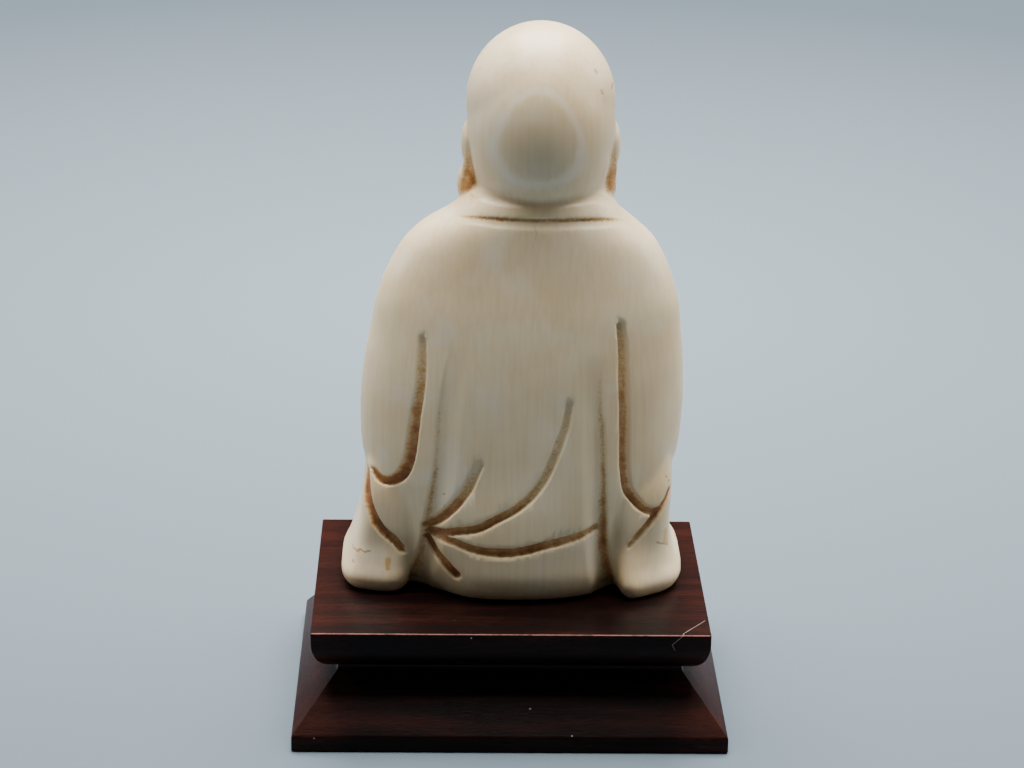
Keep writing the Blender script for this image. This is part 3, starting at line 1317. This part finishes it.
@dataclass
class Plinth:
    """The moulded plinth: a slab with an ovolo under it, a waist and a spread foot.

    Sizes are in metres. The profile is drawn from the foot up, as pairs of inset from the slab's
    edge and height.
    """

    half_width: float
    half_depth: float
    height: float
    overhang: float = 2.4 * MM
    band: float = 2.1 * MM
    top_edge: float = 1.4 * MM
    waist_inset: float = 3.3 * MM
    waist_height: float = 1.0 * MM
    ovolo_inset: float = 2.8 * MM
    ovolo_drop: float = 3.9 * MM
    sole_radius: float = 0.3 * MM
    band_radius: float = 0.8 * MM
    cove_radius: float = 1.5 * MM
    arris_radius: float = 0.18 * MM
    mitre_softness: float = 0.16 * MM
    arc_steps: int = 12

    def profile(self) -> list[Point]:
        """Draws the moulding's outline.

        Returns:
            The outline's (inset, height) points, from the sole to the top.
        """
        waist_top = self.height - self.top_edge - self.ovolo_drop
        waist_foot = waist_top - self.waist_height
        sole = (-self.overhang, 0.0)
        band = (-self.overhang, self.band)
        waist = (self.waist_inset, waist_foot)
        points = self.rounded((0.0, 0.0), sole, band, self.sole_radius)
        points += self.rounded(sole, band, waist, self.band_radius)
        points += self.rounded(band, waist, (self.waist_inset, waist_top), self.cove_radius)
        points.append((self.waist_inset, waist_top))
        for step in range(self.arc_steps + 1):
            angle = math.pi / 2 * step / self.arc_steps
            points.append((self.ovolo_inset * (1 - math.sin(angle)),
                           waist_top + self.ovolo_drop * (1 - math.cos(angle))))
        middle = (self.half_depth, self.height)
        points += self.rounded((0.0, waist_top), (0.0, self.height), middle, self.arris_radius)
        return points

    def rounded(self, before: Point, corner: Point, after: Point, radius: float) -> list[Point]:
        """Rounds one corner of the outline.

        Args:
            before: The point before the corner.
            corner: The corner.
            after: The point after it.
            radius: The arc's radius.

        Returns:
            The arc's points.
        """
        place = Vector(corner)
        inward = (Vector(before) - place).normalized()
        outward = (Vector(after) - place).normalized()
        half_angle = inward.angle(outward) / 2
        start = place + inward * radius / math.tan(half_angle)
        end = place + outward * radius / math.tan(half_angle)
        centre = place + (inward + outward).normalized() * radius / math.sin(half_angle)
        points = []
        for step in range(self.arc_steps // 2 + 1):
            share = step / (self.arc_steps // 2)
            spoke = (start - centre).lerp(end - centre, share).normalized()
            points.append(tuple(centre + spoke * radius))
        return points

    def run_moulding(self) -> bpy.types.NodeTree:
        """Makes the tree that runs an outline round a rectangle with mitred corners.

        The tree's geometry is the outline, with its inset as X and its height as Z. A grid has one
        row for each point of the outline and five columns, one for each corner and the first again.

        Returns:
            The node tree.
        """
        tree = bpy.data.node_groups.new("moulding round a slab", "GeometryNodeTree")
        inputs = {"Outline": "Geometry", "Half Width": "Float", "Half Depth": "Float", "Rows": "Int",
                  "Wood": "Material"}
        for name, kind in inputs.items():
            tree.interface.new_socket(name, in_out="INPUT", socket_type="NodeSocket" + kind)
        tree.interface.new_socket("Plinth", in_out="OUTPUT", socket_type="NodeSocketGeometry")
        given = add_node(tree, "NodeGroupInput").outputs
        sheet = add_node(tree, "GeometryNodeMeshGrid", inputs={"Size X": 1.0, "Size Y": 1.0, "Vertices X": 5,
                                                               "Vertices Y": given["Rows"]})
        index = add_node(tree, "GeometryNodeInputIndex").outputs[0]

        def sums(operation: str, *values: Number) -> Socket:
            """Adds one sum and returns its output."""
            node = add_node(tree, "ShaderNodeMath", {"operation": operation}, dict(enumerate(values)))
            return node.outputs[0]

        def edge(half_size: Socket, first_corner: float) -> Socket:
            """Returns the place along one axis, on its positive side for one corner and the next."""
            near = sums("COMPARE", corner, first_corner + 0.5, 0.6)
            sign = sums("SUBTRACT", sums("MULTIPLY", near, 2.0), 1.0)
            return sums("MULTIPLY", sign, sums("SUBTRACT", half_size, outline["X"]))

        column = sums("FLOOR", sums("DIVIDE", sums("ADD", index, 0.5), given["Rows"]))
        row = sums("SUBTRACT", index, sums("MULTIPLY", column, given["Rows"]))
        corner = sums("MODULO", column, 4.0)
        place = add_node(tree, "GeometryNodeInputPosition").outputs[0]
        sample = add_node(tree, "GeometryNodeSampleIndex", {"data_type": "FLOAT_VECTOR"},
                          {"Geometry": given["Outline"], "Value": place, "Index": row})
        outline = add_node(tree, "ShaderNodeSeparateXYZ", inputs={0: sample.outputs[0]}).outputs
        # Corners 1 and 2 lie at +X, and corners 2 and 3 at +Y.
        corner_place = {0: edge(given["Half Width"], 1.0), 1: edge(given["Half Depth"], 2.0), 2: outline["Z"]}
        spot = add_node(tree, "ShaderNodeCombineXYZ", inputs=corner_place).outputs[0]
        shaped = add_node(tree, "GeometryNodeSetPosition", inputs={"Geometry": sheet.outputs["Mesh"],
                                                                   "Position": spot}).outputs[0]
        closed = add_node(tree, "GeometryNodeMergeByDistance", inputs={"Geometry": shaped,
                                                                       "Distance": 0.01 * MM}).outputs[0]
        real = add_node(tree, "GeometryNodeRealizeInstances", inputs={0: closed}).outputs[0]
        dressed = add_node(tree, "GeometryNodeSetMaterial", inputs={"Geometry": real,
                                                                    "Material": given["Wood"]}).outputs[0]
        add_node(tree, "NodeGroupOutput", inputs={0: dressed})
        return tree

    def build(self) -> bpy.types.Object:
        """Runs the moulding, closes its top and sole and softens the mitres.

        Returns:
            The plinth's object.
        """
        # The outline starts and ends on the slab's middle line, so that the sole and the top close.
        outline = [(self.half_depth, 0.0), *self.profile(), (self.half_depth, self.height)]
        mesh = bpy.data.meshes.new("outline")
        mesh.from_pydata([(inset, 0.0, height) for inset, height in outline], [], [])
        item = add_object("moulded_plinth", mesh)
        tree = self.run_moulding()
        moulding = item.modifiers.new("moulding", "NODES")
        moulding.node_group = tree
        wood = StainedHardwood(self.half_width / MM, self.half_depth / MM, self.height / MM).make()
        values = {"Half Width": self.half_width, "Half Depth": self.half_depth, "Rows": len(outline),
                  "Wood": wood}
        for socket in tree.interface.items_tree:
            if socket.in_out == "INPUT" and socket.name in values:
                moulding[socket.identifier] = values[socket.name]
        soften = item.modifiers.new("softened mitres", "BEVEL")
        soften.width = self.mitre_softness
        soften.segments = 2
        soften.limit_method = "ANGLE"
        soften.angle_limit = math.radians(30)
        shaped = plain_mesh(item)
        item.modifiers.clear()
        item.data = shaped
        form = bmesh.new()
        form.from_mesh(shaped)
        bmesh.ops.remove_doubles(form, verts=form.verts, dist=0.002 * MM)
        bmesh.ops.recalc_face_normals(form, faces=form.faces)
        form.to_mesh(shaped)
        form.free()
        shaped.shade_smooth()
        shaped.set_sharp_from_angle(angle=math.radians(28))
        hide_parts("wooden_plinth")
        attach(item, "root")
        return item


@dataclass(frozen=True)
class Lamp:
    """A square soft light that faces the object: its place, its side in metres and its watts."""

    name: str
    place: Point
    size: float
    power: float
    colour: str = "fbfaf8"


@dataclass
class Studio:
    """The pale floor, the soft lights and the camera, in metres and degrees."""

    camera_place: Point = (0.0081, 0.3591, 0.1713)
    camera_pitch: float = 19.85
    camera_yaw: float = -1.3
    camera_roll: float = 0.86
    lens: float = 105.47
    floor_size: float = 6.0
    focus: Point = (0.0, 0.0, 0.045)
    room_colour: str = "f0ebe6"
    room_light: float = 0.07
    lamps: tuple[Lamp, ...] = (
        Lamp("sky over the far side", (0.0, -0.24, 1.0), 0.9, 57.0),
        Lamp("left window", (0.9, -0.2, 0.45), 0.7, 3.5),
        Lamp("right window", (-0.9, -0.2, 0.45), 0.7, 5.5),
    )

    def add_floor(self) -> bpy.types.Object:
        """Lays the floor.

        Returns:
            The floor's object.
        """
        form = bmesh.new()
        bmesh.ops.create_grid(form, x_segments=1, y_segments=1, size=self.floor_size)
        floor = add_object("floor", mesh_of(form, "floor"))
        floor.data.materials.append(PalePaper().make())
        return floor

    def add_lights(self) -> None:
        """Hangs the lights, turned to the object, and sets the light of the room."""
        for lamp in self.lamps:
            light = bpy.data.lights.new(lamp.name, "AREA")
            light.size = lamp.size
            light.energy = lamp.power
            light.color = linear(lamp.colour)[:3]
            item = add_object(lamp.name, light)
            item.location = lamp.place
            item.rotation_euler = (Vector(lamp.place) - Vector(self.focus)).to_track_quat("Z", "Y").to_euler()
        world = bpy.data.worlds.new("room")
        world.use_nodes = True
        shade = world.node_tree.nodes["Background"]
        shade.inputs["Color"].default_value = linear(self.room_colour)
        shade.inputs["Strength"].default_value = self.room_light
        bpy.context.scene.world = world

    def add_camera(self) -> bpy.types.Object:
        """Sets the camera up behind the figure, above it and looking down.

        Returns:
            The camera's object.
        """
        angles = (self.camera_pitch, self.camera_yaw, self.camera_roll)
        pitch, yaw, roll = (math.radians(angle) for angle in angles)
        ahead = math.cos(pitch)
        forward = Vector((math.sin(yaw) * ahead, -math.cos(yaw) * ahead, -math.sin(pitch)))
        level = forward.cross(Vector((0, 0, 1))).normalized()
        upright = level.cross(forward)
        right = level * math.cos(roll) + upright * math.sin(roll)
        up = upright * math.cos(roll) - level * math.sin(roll)
        lens = bpy.data.cameras.new("camera")
        lens.lens = self.lens
        lens.sensor_width = 36.0
        camera = add_object("camera", lens)
        turn = Matrix((right, up, -forward)).transposed().to_4x4()
        turn.translation = Vector(self.camera_place)
        camera.matrix_world = turn
        bpy.context.scene.camera = camera
        return camera


def main() -> None:
    """Builds the plinth, the figurine and the studio, and reports each."""
    logging.basicConfig(level=logging.INFO, format="%(name)s: %(message)s")
    low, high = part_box("wooden_plinth")
    overhang = Plinth.overhang
    plinth = Plinth(high[0] - overhang, high[1] - overhang, high[2])
    figure = Figurine(seat=high[2] + 0.02 * MM)
    studio = Studio()
    for build in (plinth.build, figure.build, studio.add_floor):
        piece = build()
        LOG.info("%s has %d faces", piece.name, len(piece.data.polygons))
    studio.add_lights()
    studio.add_camera()


if __name__ == "__main__":
    main()
